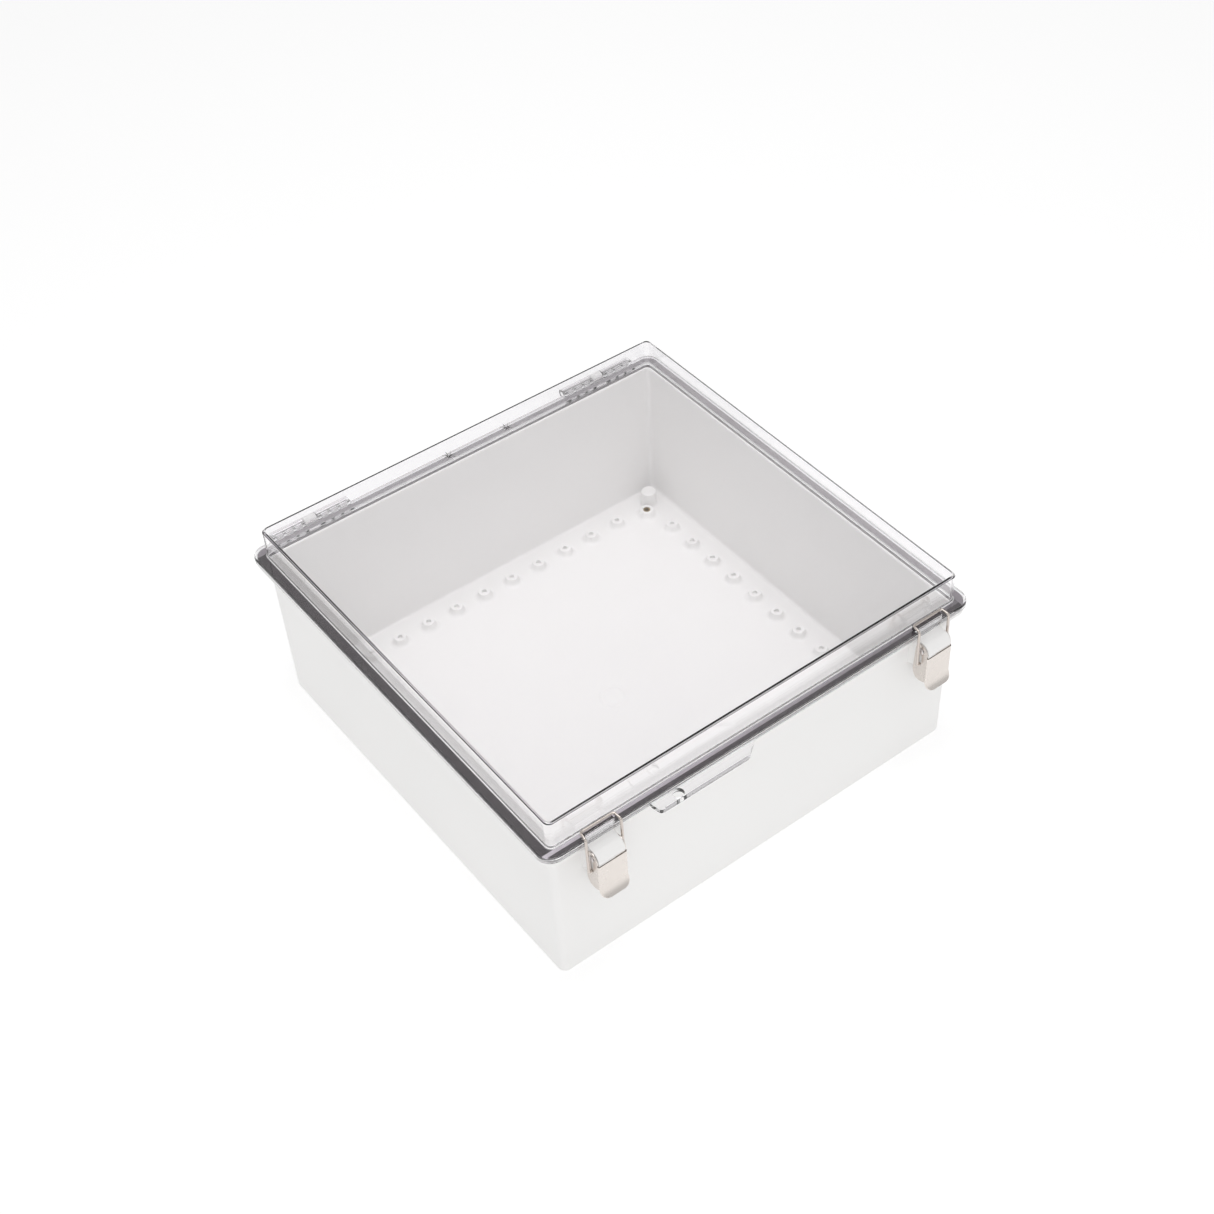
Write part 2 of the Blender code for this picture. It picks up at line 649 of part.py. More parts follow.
def latch_bail(side, empty):
    """The wire bail."""
    tag = "right" if side > 0 else "left"
    centre = side * LATCH_X
    bail = wire("latch_bail_" + tag, bail_points(centre), WIRE_R, PARTS, MAT_STEEL)
    hang_from(bail, empty, (centre, BAIL_PIVOT[0], BAIL_PIVOT[1]))
    return bail


def latch_pivot_pin(side):
    """The headed pin that the lever turns on."""
    tag = "right" if side > 0 else "left"
    centre = side * LATCH_X
    reach = EAR_OUTER + 0.3
    head = reach + 0.6
    profile = [(0.0, -head), (2.3, -head), (2.6, -head + 0.3), (2.6, -reach), (PIVOT_PIN_R, -reach)]
    profile += [(PIVOT_PIN_R, reach), (2.6, reach), (2.6, head - 0.3), (2.3, head), (0.0, head)]
    mesh = turned_mesh("latch_pivot_pin", profile, 14)
    mesh.transform(Matrix.Rotation(math.pi / 2.0, 4, "Y"))
    pin = add_object("latch_pivot_pin_" + tag, mesh, PARTS, MAT_PIN)
    pin.location = (mm(centre), mm(LEVER_PIVOT[0]), mm(LEVER_PIVOT[1]))
    return pin


# ---------------------------------------------------------------- inserts
def insert_mesh(name, outer, inner, low, high):
    """A threaded insert, drawn as a plain sleeve."""
    profile = [(outer, low), (outer, high), (inner, high), (inner, low), (outer, low)]
    return turned_mesh(name, profile, 16)


def inserts():
    """Brass sleeves in the large bosses and in the underside sockets."""
    tags = ("front_left", "back_left", "front_right", "back_right")
    for tag, (x, y) in zip(tags, corner_places(PANEL_BOSS_AT)):
        mesh = insert_mesh("panel_insert", PANEL_HOLE_R - 0.3, 2.0, FLOOR_TOP - 0.7, BOSS_TOP - 0.5)
        obj = add_object("panel_insert_" + tag, mesh, PARTS, MAT_BRASS)
        obj.location = (mm(x), mm(y), 0.0)
    for tag, (x, y) in zip(tags, corner_places(POST_AT)):
        mesh = insert_mesh("mounting_insert", SOCKET_R - 0.3, 2.4, 0.6, SOCKET_DEPTH - 0.4)
        obj = add_object("mounting_insert_" + tag, mesh, PARTS, MAT_BRASS)
        obj.location = (mm(x), mm(y), 0.0)


# ---------------------------------------------------------------- assembly
def assemble():
    """Build every piece and hang the moving ones from empties on their joint axes."""
    base_tray()
    hinge = pivot_empty("lid_hinge_axis", (0.0, HINGE_Y, HINGE_Z))
    for piece in (clear_lid(), lid_gasket()):
        hang_from(piece, hinge, (0.0, HINGE_Y, HINGE_Z))
    for side in (-1, 1):
        tag = "right" if side > 0 else "left"
        centre = side * LATCH_X
        hinge_pin(side)
        latch_pivot_pin(side)
        lever_axis = pivot_empty("lever_axis_" + tag, (centre, LEVER_PIVOT[0], LEVER_PIVOT[1]))
        bail_axis = pivot_empty("bail_axis_" + tag, (centre, BAIL_PIVOT[0], BAIL_PIVOT[1]), lever_axis)
        latch_lever(side, lever_axis)
        latch_bail(side, bail_axis)
    inserts()
    bpy.context.view_layer.update()


assemble()
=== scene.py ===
# %% [markdown]
# # A latched enclosure with a clear lid
# The object is a square plastic box about 400 mm across: a light grey tray with rows of screw bosses,
# a clear polycarbonate lid on two hinges, a dark seal under the lid's flange and two wire draw
# latches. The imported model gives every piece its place. Here each piece gets its fine shape and its
# finish, and then the studio is set up round it.

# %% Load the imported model
import json
import math

import bmesh
import bpy
from mathutils import Matrix, Vector


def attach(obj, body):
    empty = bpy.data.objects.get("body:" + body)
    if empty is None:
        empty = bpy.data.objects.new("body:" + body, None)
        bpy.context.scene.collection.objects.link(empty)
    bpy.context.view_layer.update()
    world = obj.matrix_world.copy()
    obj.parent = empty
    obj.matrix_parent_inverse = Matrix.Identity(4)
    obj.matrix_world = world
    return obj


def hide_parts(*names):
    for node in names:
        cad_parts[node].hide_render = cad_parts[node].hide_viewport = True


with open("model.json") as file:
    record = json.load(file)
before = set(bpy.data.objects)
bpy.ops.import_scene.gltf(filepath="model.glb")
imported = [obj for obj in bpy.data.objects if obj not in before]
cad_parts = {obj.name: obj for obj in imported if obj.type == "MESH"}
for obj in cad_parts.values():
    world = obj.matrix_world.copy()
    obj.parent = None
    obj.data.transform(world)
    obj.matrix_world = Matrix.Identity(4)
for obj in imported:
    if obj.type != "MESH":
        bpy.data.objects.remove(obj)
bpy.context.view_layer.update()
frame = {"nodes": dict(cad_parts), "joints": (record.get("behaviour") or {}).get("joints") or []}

NODES = frame["nodes"]
JOINTS = {joint["name"]: joint for joint in frame["joints"]}

# %% [markdown]
# ## Shared surface effects
# Moulded plastic is never perfectly even: it has a very fine grain, its colour drifts a little and
# its gloss changes where it was handled. These three effects are node groups, built once, so each
# material can place them with its own numbers. A group only puts out colours, values and heights;
# the shader itself stays in the material, because that is where its own settings are easiest to read.


# %% Helpers for node groups
def new_group(name, inputs, outputs):
    """An empty shader group with named sockets."""
    group = bpy.data.node_groups.new(name, "ShaderNodeTree")
    for label, kind, value in inputs:
        socket = group.interface.new_socket(label, in_out="INPUT", socket_type=kind)
        socket.default_value = value
    for label, kind in outputs:
        group.interface.new_socket(label, in_out="OUTPUT", socket_type=kind)
    entry = group.nodes.new("NodeGroupInput")
    leave = group.nodes.new("NodeGroupOutput")
    entry.location = (-900, 0)
    leave.location = (500, 0)
    return group, entry, leave


def add_node(tree, kind, **settings):
    """A node with its plain settings filled in."""
    node = tree.nodes.new(kind)
    for key, value in settings.items():
        setattr(node, key, value)
    return node


# Sockets of a colour Mix node: the two colours that go in and the one that comes out.
FIRST_COLOUR, SECOND_COLOUR, MIXED_COLOUR = 6, 7, 2
print("helpers ready")


# %% Fine grain of a moulded or brushed surface
def build_grain():
    """Height of a fine grain; Stretch makes it run in lines, as brushing does."""
    group, entry, leave = new_group(
        "surface grain",
        [("Scale", "NodeSocketFloat", 900.0), ("Stretch", "NodeSocketVector", (1.0, 1.0, 1.0)),
         ("Depth", "NodeSocketFloat", 0.3)],
        [("Height", "NodeSocketFloat")])
    place = add_node(group, "ShaderNodeTexCoord")
    stretch = add_node(group, "ShaderNodeVectorMath", operation="MULTIPLY")
    noise = add_node(group, "ShaderNodeTexNoise")
    noise.inputs["Detail"].default_value = 3.0
    depth = add_node(group, "ShaderNodeMath", operation="MULTIPLY")
    links = group.links
    links.new(place.outputs["Object"], stretch.inputs[0])
    links.new(entry.outputs["Stretch"], stretch.inputs[1])
    links.new(stretch.outputs["Vector"], noise.inputs["Vector"])
    links.new(entry.outputs["Scale"], noise.inputs["Scale"])
    links.new(noise.outputs["Fac"], depth.inputs[0])
    links.new(entry.outputs["Depth"], depth.inputs[1])
    links.new(depth.outputs["Value"], leave.inputs["Height"])
    return group


GRAIN = build_grain()
print("group", GRAIN.name, "with", len(GRAIN.nodes), "nodes")


# %% Slow drift of colour
def build_tone():
    """Mixes two close colours in broad soft patches."""
    group, entry, leave = new_group(
        "tone drift",
        [("Main", "NodeSocketColor", (0.8, 0.8, 0.8, 1.0)),
         ("Other", "NodeSocketColor", (0.7, 0.7, 0.7, 1.0)),
         ("Scale", "NodeSocketFloat", 8.0), ("Amount", "NodeSocketFloat", 0.5)],
        [("Color", "NodeSocketColor")])
    place = add_node(group, "ShaderNodeTexCoord")
    noise = add_node(group, "ShaderNodeTexNoise")
    noise.inputs["Detail"].default_value = 2.0
    amount = add_node(group, "ShaderNodeMath", operation="MULTIPLY")
    blend = add_node(group, "ShaderNodeMix", data_type="RGBA")
    links = group.links
    links.new(place.outputs["Object"], noise.inputs["Vector"])
    links.new(entry.outputs["Scale"], noise.inputs["Scale"])
    links.new(noise.outputs["Fac"], amount.inputs[0])
    links.new(entry.outputs["Amount"], amount.inputs[1])
    links.new(amount.outputs["Value"], blend.inputs["Factor"])
    links.new(entry.outputs["Main"], blend.inputs[FIRST_COLOUR])
    links.new(entry.outputs["Other"], blend.inputs[SECOND_COLOUR])
    links.new(blend.outputs[MIXED_COLOUR], leave.inputs["Color"])
    return group


TONE = build_tone()
print("group", TONE.name, "with", len(TONE.nodes), "nodes")


# %% Gloss that changes where hands have been
def build_gloss():
    """Roughness between two values in patches."""
    group, entry, leave = new_group(
        "gloss drift",
        [("Low", "NodeSocketFloat", 0.3), ("High", "NodeSocketFloat", 0.5),
         ("Scale", "NodeSocketFloat", 30.0)],
        [("Roughness", "NodeSocketFloat")])
    place = add_node(group, "ShaderNodeTexCoord")
    noise = add_node(group, "ShaderNodeTexNoise")
    noise.inputs["Detail"].default_value = 4.0
    spread = add_node(group, "ShaderNodeMapRange")
    spread.inputs["From Min"].default_value = 0.3
    spread.inputs["From Max"].default_value = 0.7
    links = group.links
    links.new(place.outputs["Object"], noise.inputs["Vector"])
    links.new(entry.outputs["Scale"], noise.inputs["Scale"])
    links.new(noise.outputs["Fac"], spread.inputs["Value"])
    links.new(entry.outputs["Low"], spread.inputs["To Min"])
    links.new(entry.outputs["High"], spread.inputs["To Max"])
    links.new(spread.outputs["Result"], leave.inputs["Roughness"])
    return group


GLOSS = build_gloss()
print("groups", [g.name for g in bpy.data.node_groups])

# %% [markdown]
# ## Materials
# Every finish is one Principled shader. The numbers that are the same everywhere are set on the
# shader's own sockets, and the groups above drive only what really changes over the surface.


# %% A helper that places a group in a material
def start_material(name, roughness=0.4, metallic=0.0):
    """A material with one Principled shader, returned with its tree and shader."""
    mat = bpy.data.materials.new(name)
    mat.use_nodes = True
    shader = mat.node_tree.nodes["Principled BSDF"]
    shader.inputs["Roughness"].default_value = roughness
    shader.inputs["Metallic"].default_value = metallic
    return mat, mat.node_tree, shader


def place_group(tree, group, **values):
    """One use of a shared group, with its own input values."""
    node = add_node(tree, "ShaderNodeGroup", node_tree=group)
    for key, value in values.items():
        node.inputs[key].default_value = value
    return node


def add_grain(tree, shader, scale, stretch, depth, distance):
    """Feeds the grain into the shader's Normal through a Bump node."""
    grain = place_group(tree, GRAIN, Scale=scale, Stretch=stretch, Depth=depth)
    bump = add_node(tree, "ShaderNodeBump")
    bump.inputs["Distance"].default_value = distance
    tree.links.new(grain.outputs["Height"], bump.inputs["Height"])
    tree.links.new(bump.outputs["Normal"], shader.inputs["Normal"])


# %% [markdown]
# ### Light grey tray
# Box-making plastic such as ABS comes out of a lightly sparked mould: satin, faintly warm, with a
# grain too fine to see as dots but enough to soften the highlights.

# %% Tray plastic
TRAY_MAT, tree, shader = start_material("satin grey moulding")
tone = place_group(tree, TONE, Main=(0.930, 0.923, 0.914, 1.0), Other=(0.912, 0.905, 0.896, 1.0),
                   Scale=5.0, Amount=0.5)
gloss = place_group(tree, GLOSS, Low=0.36, High=0.48, Scale=14.0)
tree.links.new(tone.outputs["Color"], shader.inputs["Base Color"])
tree.links.new(gloss.outputs["Roughness"], shader.inputs["Roughness"])
add_grain(tree, shader, 1400.0, (1.0, 1.0, 1.0), 0.5, 0.0001)
print("material", TRAY_MAT.name)

# %% [markdown]
# ### Clear polycarbonate
# Clear lids are moulded in polycarbonate, which bends light more than window glass does, so its
# edges go dark. The shape below has 1.7 mm side walls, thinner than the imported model's 3 mm, because
# the dark line along an edge is about as wide as the wall. Bent light alone leaves that line too pale
# in this studio, so a narrow shade is laid on the front and left top edges. The shade goes by position:
# it stays on those two edges from every side, and the back and right edges have none. A very faint
# waviness from the mould keeps the large faces from looking like optical glass.

# %% Shade laid on two of the top edges
def build_edge():
    """Mask that is 1 on the bevel between a box's top and its front and left sides."""
    group, entry, leave = new_group(
        "edge shade",
        [("Half", "NodeSocketFloat", 0.19), ("Top", "NodeSocketFloat", 0.174),
         ("Reach", "NodeSocketFloat", 0.001)],
        [("Mask", "NodeSocketFloat")])
    place = add_node(group, "ShaderNodeTexCoord")
    parts = add_node(group, "ShaderNodeSeparateXYZ")
    least = add_node(group, "ShaderNodeMath", operation="MINIMUM")
    flipped = add_node(group, "ShaderNodeMath", operation="MULTIPLY")
    flipped.inputs[1].default_value = -1.0
    inner = add_node(group, "ShaderNodeMath", operation="SUBTRACT")
    lower = add_node(group, "ShaderNodeMath", operation="SUBTRACT")
    outside = add_node(group, "ShaderNodeMath", operation="GREATER_THAN")
    above = add_node(group, "ShaderNodeMath", operation="GREATER_THAN")
    both = add_node(group, "ShaderNodeMath", operation="MULTIPLY")
    links = group.links
    links.new(place.outputs["Object"], parts.inputs["Vector"])
    links.new(parts.outputs["X"], least.inputs[0])
    links.new(parts.outputs["Y"], least.inputs[1])
    links.new(least.outputs["Value"], flipped.inputs[0])
    for socket, node in (("Half", inner), ("Top", lower)):
        links.new(entry.outputs[socket], node.inputs[0])
        links.new(entry.outputs["Reach"], node.inputs[1])
    links.new(flipped.outputs["Value"], outside.inputs[0])
    links.new(inner.outputs["Value"], outside.inputs[1])
    links.new(parts.outputs["Z"], above.inputs[0])
    links.new(lower.outputs["Value"], above.inputs[1])
    links.new(outside.outputs["Value"], both.inputs[0])
    links.new(above.outputs["Value"], both.inputs[1])
    links.new(both.outputs["Value"], leave.inputs["Mask"])
    return group


EDGE = build_edge()
print("group", EDGE.name, "with", len(EDGE.nodes), "nodes")

# %% Clear lid
LID_MAT, tree, shader = start_material("clear polycarbonate", 0.0)
edge = place_group(tree, EDGE, Half=0.190, Top=0.17445, Reach=0.0014)
# Painted shade: the lid's colour turns dark along its front and left top edges, laid on by position.
painted_edge_shade = add_node(tree, "ShaderNodeMix", data_type="RGBA")
painted_edge_shade.inputs[FIRST_COLOUR].default_value = (0.994, 0.989, 0.997, 1.0)
painted_edge_shade.inputs[SECOND_COLOUR].default_value = (0.52, 0.48, 0.54, 1.0)
tree.links.new(edge.outputs["Mask"], painted_edge_shade.inputs["Factor"])
tree.links.new(painted_edge_shade.outputs[MIXED_COLOUR], shader.inputs["Base Color"])
shader.inputs["IOR"].default_value = 1.585
shader.inputs["Transmission Weight"].default_value = 1.0
gloss = place_group(tree, GLOSS, Low=0.0, High=0.03, Scale=60.0)
tree.links.new(gloss.outputs["Roughness"], shader.inputs["Roughness"])
add_grain(tree, shader, 7.0, (1.0, 1.0, 1.0), 0.2, 0.0002)


def let_lamps_through(tree, shader, colour):
    """Lamps shine through clear plastic: rays towards a lamp meet a plain tinted pane instead."""
    rays = add_node(tree, "ShaderNodeLightPath")
    pane = add_node(tree, "ShaderNodeBsdfTransparent")
    pane.inputs["Color"].default_value = colour
    choose = add_node(tree, "ShaderNodeMixShader")
    result = tree.nodes["Material Output"]
    tree.links.new(rays.outputs["Is Shadow Ray"], choose.inputs["Fac"])
    tree.links.new(shader.outputs["BSDF"], choose.inputs[1])
    tree.links.new(pane.outputs["BSDF"], choose.inputs[2])
    tree.links.new(choose.outputs["Shader"], result.inputs["Surface"])


let_lamps_through(tree, shader, (0.99, 0.985, 0.992, 1.0))
print("material", LID_MAT.name)

# %% [markdown]
# ### Seal, steel and brass
# The seal is a dull dark elastomer. Part of it carries a pale painted reflection: a colour laid on by
# position, as the lid's painted edge shade is, standing in for light reflected on the seal. It stays on
# the inner half of the front run and on the back and right runs. The latches are pressed and bent from
# bright stainless sheet and wire: nearly mirror-like, faintly warm, with fine lines along the way they
# were drawn.

# %% Painted reflection on part of the seal
def build_painted_reflection():
    """Mask on the inner half of the front run, fading to the right, and on the back and right."""
    group, entry, leave = new_group(
        "seal bloom",
        [("Inner", "NodeSocketFloat", -0.1905), ("Outer", "NodeSocketFloat", -0.1938),
         ("Width", "NodeSocketFloat", 0.19), ("Far", "NodeSocketFloat", 0.4)],
        [("Mask", "NodeSocketFloat")])
    place = add_node(group, "ShaderNodeTexCoord")
    parts = add_node(group, "ShaderNodeSeparateXYZ")
    behind = add_node(group, "ShaderNodeMath", operation="LESS_THAN")
    before = add_node(group, "ShaderNodeMath", operation="GREATER_THAN")
    fade = add_node(group, "ShaderNodeMapRange")
    flip = add_node(group, "ShaderNodeMath", operation="MULTIPLY")
    flip.inputs[1].default_value = -1.0
    fade.inputs["To Min"].default_value = 0.18
    furthest = add_node(group, "ShaderNodeMath", operation="MAXIMUM")
    beyond = add_node(group, "ShaderNodeMath", operation="GREATER_THAN")
    far = add_node(group, "ShaderNodeMath", operation="MULTIPLY")
    either = add_node(group, "ShaderNodeMath", operation="MAXIMUM")
    band = add_node(group, "ShaderNodeMath", operation="MULTIPLY")
    mask = add_node(group, "ShaderNodeMath", operation="MULTIPLY")
    links = group.links
    links.new(place.outputs["Object"], parts.inputs["Vector"])
    links.new(parts.outputs["Y"], behind.inputs[0])
    links.new(entry.outputs["Inner"], behind.inputs[1])
    links.new(parts.outputs["Y"], before.inputs[0])
    links.new(entry.outputs["Outer"], before.inputs[1])
    links.new(behind.outputs["Value"], band.inputs[0])
    links.new(before.outputs["Value"], band.inputs[1])
    links.new(entry.outputs["Width"], flip.inputs[0])
    links.new(parts.outputs["X"], fade.inputs["Value"])
    links.new(entry.outputs["Width"], fade.inputs["From Min"])
    links.new(flip.outputs["Value"], fade.inputs["From Max"])
    links.new(fade.outputs["Result"], mask.inputs[0])
    links.new(band.outputs["Value"], mask.inputs[1])
    links.new(parts.outputs["X"], furthest.inputs[0])
    links.new(parts.outputs["Y"], furthest.inputs[1])
    links.new(furthest.outputs["Value"], beyond.inputs[0])
    links.new(entry.outputs["Width"], beyond.inputs[1])
    links.new(beyond.outputs["Value"], far.inputs[0])
    links.new(entry.outputs["Far"], far.inputs[1])
    links.new(mask.outputs["Value"], either.inputs[0])
    links.new(far.outputs["Value"], either.inputs[1])
    links.new(either.outputs["Value"], leave.inputs["Mask"])
    return group


SEAL_PAINTED_REFLECTION = build_painted_reflection()
print("group", SEAL_PAINTED_REFLECTION.name, "with", len(SEAL_PAINTED_REFLECTION.nodes), "nodes")

# %% Seal
SEAL_MAT, tree, shader = start_material("dark seal rubber", 0.7)
tone = place_group(tree, TONE, Main=(0.034, 0.027, 0.031, 1.0), Other=(0.050, 0.041, 0.046, 1.0),
                   Scale=60.0, Amount=0.6)
# Painted reflection: where the mask is set, the seal's dark colour is mixed towards a pale lilac.
painted_reflection = place_group(tree, SEAL_PAINTED_REFLECTION)
pale = add_node(tree, "ShaderNodeMix", data_type="RGBA")
pale.inputs[SECOND_COLOUR].default_value = (0.54, 0.50, 0.54, 1.0)
tree.links.new(painted_reflection.outputs["Mask"], pale.inputs["Factor"])
tree.links.new(tone.outputs["Color"], pale.inputs[FIRST_COLOUR])
tree.links.new(pale.outputs[MIXED_COLOUR], shader.inputs["Base Color"])
gloss = place_group(tree, GLOSS, Low=0.55, High=0.8, Scale=90.0)
tree.links.new(gloss.outputs["Roughness"], shader.inputs["Roughness"])
shader.inputs["Specular IOR Level"].default_value = 0.25
add_grain(tree, shader, 1200.0, (1.0, 1.0, 1.0), 0.6, 0.0002)
print("material", SEAL_MAT.name)


# %% Metals
def metal(name, main, other, low, high, stretch, scale, depth):
    """A metal with drifting tone and gloss and lines along one direction."""
    mat, tree, shader = start_material(name, 0.3, 1.0)
    tone = place_group(tree, TONE, Main=(*main, 1.0), Other=(*other, 1.0), Scale=40.0, Amount=0.5)
    tree.links.new(tone.outputs["Color"], shader.inputs["Base Color"])
    gloss = place_group(tree, GLOSS, Low=low, High=high, Scale=60.0)
    tree.links.new(gloss.outputs["Roughness"], shader.inputs["Roughness"])
    add_grain(tree, shader, scale, stretch, depth, 0.00002)
    return mat


PLATE_MAT = metal("brushed stainless sheet", (0.77, 0.72, 0.68), (0.72, 0.67, 0.63), 0.24, 0.32,
                  (1.0, 1.0, 0.06), 2600.0, 0.5)
WIRE_MAT = metal("drawn stainless wire", (0.66, 0.60, 0.56), (0.54, 0.49, 0.45), 0.12, 0.2,
                 (1.0, 1.0, 0.1), 1800.0, 0.3)
PIN_MAT = metal("turned stainless pin", (0.84, 0.82, 0.83), (0.78, 0.76, 0.77), 0.3, 0.4,
                (0.1, 1.0, 1.0), 1500.0, 0.3)
BRASS_MAT = metal("dull brass insert", (0.50, 0.38, 0.22), (0.34, 0.27, 0.17), 0.32, 0.5,
                  (1.0, 1.0, 0.3), 1500.0, 0.5)
# Painted shadow: a dark metal laid on the lever plates' top edges in place of the shade in the gap behind
# them.
PLATE_EDGE_SHADOW_MAT = metal("painted shadow on plate edge", (0.20, 0.17, 0.15), (0.15, 0.13, 0.11), 0.4, 0.55,
                    (1.0, 1.0, 1.0), 1500.0, 0.5)
METALS = (PLATE_MAT, WIRE_MAT, PIN_MAT, BRASS_MAT, PLATE_EDGE_SHADOW_MAT)
print("metals", [m.name for m in METALS])

# %% [markdown]
# ## Shapes that run round the box
# The tray, the lid and the seal all have a wall section that travels round a square with rounded
# corners, but the corner radius changes from the foot to the rim. A sweep would keep one radius, so
# the walls are skinned through a stack of outlines instead: each one has its own half width, corner
# radius and height.


# %% Outlines and skins
def mm(value):
    """Millimetres to metres."""
    return value * 0.001


def outline(half, radius, z, steps=12):
    """A square with rounded corners at height z."""
    points = []
    inner = half - radius
    for corner, (sx, sy) in enumerate(((1, 1), (-1, 1), (-1, -1), (1, -1))):
        for step in range(steps + 1):
            angle = (corner + step / steps) * math.pi / 2
            points.append(Vector((mm(sx * inner + radius * math.cos(angle)),
                                  mm(sy * inner + radius * math.sin(angle)), mm(z))))
    return points


def skin(bm, rings, closed=False):
    """Joins a stack of rings with the same number of points; open stacks get end faces."""
    rows = [[bm.verts.new(p) for p in ring] for ring in rings]
    pairs = list(zip(rows, rows[1:])) + ([(rows[-1], rows[0])] if closed else [])
    for low, high in pairs:
        for i in range(len(low)):
            j = (i + 1) % len(low)
            bm.faces.new((low[i], low[j], high[j], high[i]))
    if not closed:
        bm.faces.new(rows[0])
        bm.faces.new(rows[-1])


def arc(centre, radius, start, end, steps):
    """Points (across, up) along an arc, angles in degrees."""
    found = []
    for step in range(steps + 1):
        angle = math.radians(start + (end - start) * step / steps)
        found.append((centre[0] + radius * math.cos(angle), centre[1] + radius * math.sin(angle)))
    return found


def make_object(name, bm, mat=None, sharp=38.0):
    """A smooth-shaded object that keeps its edges crisp above the sharp angle."""
    bmesh.ops.recalc_face_normals(bm, faces=bm.faces)
    mesh = bpy.data.meshes.new(name)
    bm.to_mesh(mesh)
    bm.free()
    mesh.shade_smooth()
    mesh.set_sharp_from_angle(angle=math.radians(sharp))
    obj = bpy.data.objects.new(name, mesh)
    bpy.context.scene.collection.objects.link(obj)
    if mat is not None:
        mesh.materials.append(mat)
    return obj


def even_normals(obj):
    """Keeps large flat faces flat next to their small fillets."""
    modifier = obj.modifiers.new("even normals", "WEIGHTED_NORMAL")
    modifier.keep_sharp = True
    modifier.weight = 100
    return obj


# %% [markdown]
# ## Turned shapes and bosses
# A screw boss is a turned shape: a profile of radius and height spun about its axis. The foot flares
# into the floor, because a mould needs that radius and the boss would snap without it.


# %% Spin a profile
def spin(profile, sides, place=(0.0, 0.0, 0.0)):
    """A mesh of the profile [(radius, height)] turned about Z and moved to place."""
    bm = bmesh.new()
    verts = [bm.verts.new((mm(r), 0.0, mm(z))) for r, z in profile]
    edges = [bm.edges.new(pair) for pair in zip(verts, verts[1:])]
    bmesh.ops.spin(bm, geom=verts + edges, cent=(0, 0, 0), axis=(0, 0, 1), angle=2 * math.pi,
                   steps=sides, use_merge=True)
    bmesh.ops.remove_doubles(bm, verts=bm.verts, dist=1e-6)
    bmesh.ops.translate(bm, verts=bm.verts, vec=Vector([mm(v) for v in place]))
    bmesh.ops.recalc_face_normals(bm, faces=bm.faces)
    mesh = bpy.data.meshes.new("turned")
    bm.to_mesh(mesh)
    bm.free()
    return mesh


def flare(foot, neck, low, high, steps=6):
    """A quarter-round foot from radius foot at height low up to radius neck at height high."""
    return [(foot - (foot - neck) * math.sin(t * math.pi / 2 / steps),
             low + (high - low) * (1 - math.cos(t * math.pi / 2 / steps))) for t in range(steps + 1)]


def hollow_profile(foot, neck, rim, top, hole, floor, bottom):
    """Boss with a rounded rim and a hole down to bottom."""
    profile = [(foot + 0.6, floor - 0.4)] + flare(foot, neck, floor, floor + 3.6)
    profile += [(rim + 0.1, top - 1.2)] + arc((rim - 0.6, top - 0.6), 0.6, 0, 90, 4)
    profile += arc((hole + 0.35, top - 0.35), 0.35, 90, 180, 3)
    return profile + [(hole - 0.05, bottom), (0.0, bottom)]


BOSS = hollow_profile(9.4, 6.0, 5.3, 16.3, 2.1, 10.0, 13.4)
print("boss profile", len(BOSS), "points, top at", max(z for _, z in BOSS))

# %% [markdown]
# ## The tray
# One skin makes the walls, floor, rim and the shallow recess underneath. The bosses, posts, hinge
# brackets and latch blocks are moulded with it, so they are gathered into the same mesh.


# %% Tray walls
def cut_outline(half, cut, z, steps=12):
    """A square with straight cut corners and as many points as outline()."""
    points = []
    for sx, sy, turn in ((1, 1, 0), (-1, 1, 1), (-1, -1, 0), (1, -1, 1)):
        first, last = Vector((half, half - cut)), Vector((half - cut, half))
        if turn:
            first, last = last, first
        for step in range(steps + 1):
            p = first.lerp(last, step / steps)
            points.append(Vector((mm(sx * p.x), mm(sy * p.y), mm(z))))
    return points


def wall_rings():
    """The tray's section from the recess, round the foot, up to the rim and down to the floor."""
    rings = [cut_outline(176.2, 27.0, 6.0), cut_outline(177.0, 27.0, 0.3)]
    rings.append(cut_outline(177.3, 27.2, 0.0))
    for across, up in arc((187.0, 3.0), 3.0, -90, 0, 5):
        rings.append(outline(across, 3.0 + (across - 184.0) / 2, up))
    rings.append(outline(190.58, 6.3, 132.6))
    for across, up in arc((194.4, 132.6), 3.8, 180, 112, 5):
        rings.append(outline(across, 6.5 + (across - 190.6) * 0.6, up))
    for across, up in arc((196.6, 139.1), 1.4, -60, 0, 4):
        rings.append(outline(across, 11.0 - (198.0 - across) * 0.6, up))
    rings.append(outline(198.0, 11.0, 143.0))
    rings.append(outline(197.7, 10.8, 143.3))
    rings.append(outline(196.2, 9.5, 143.3))
    rings.append(outline(196.2, 9.5, 143.8))
    rings.append(outline(196.0, 9.4, 144.0))
    rings.append(outline(187.4, 4.2, 144.0))
    rings.append(outline(187.1, 4.0, 143.7))
    rings.append(outline(186.5, 3.6, 12.4))
    for across, up in arc((184.1, 12.4), 2.4, 0, -90, 5)[1:]:
        rings.append(outline(across, 3.6 - (186.5 - across) * 0.4, up))
    return rings


tray_bm = bmesh.new()
skin(tray_bm, wall_rings())
print("tray skin", len(tray_bm.verts), "points")


# %% Bosses, posts and pad
def add_mesh(bm, mesh):
    """Adds a finished mesh to the one being built."""
    bm.from_mesh(mesh)
    bpy.data.meshes.remove(mesh)


def boss_places(row=164.7, pitch=28.78, count=10):
    """One row of screw bosses along each wall."""
    along = [(i - (count - 1) / 2) * pitch for i in range(count)]
    return [(a, s * row) for a in along for s in (-1, 1)] + [(s * row, a) for a in along for s in (-1, 1)]


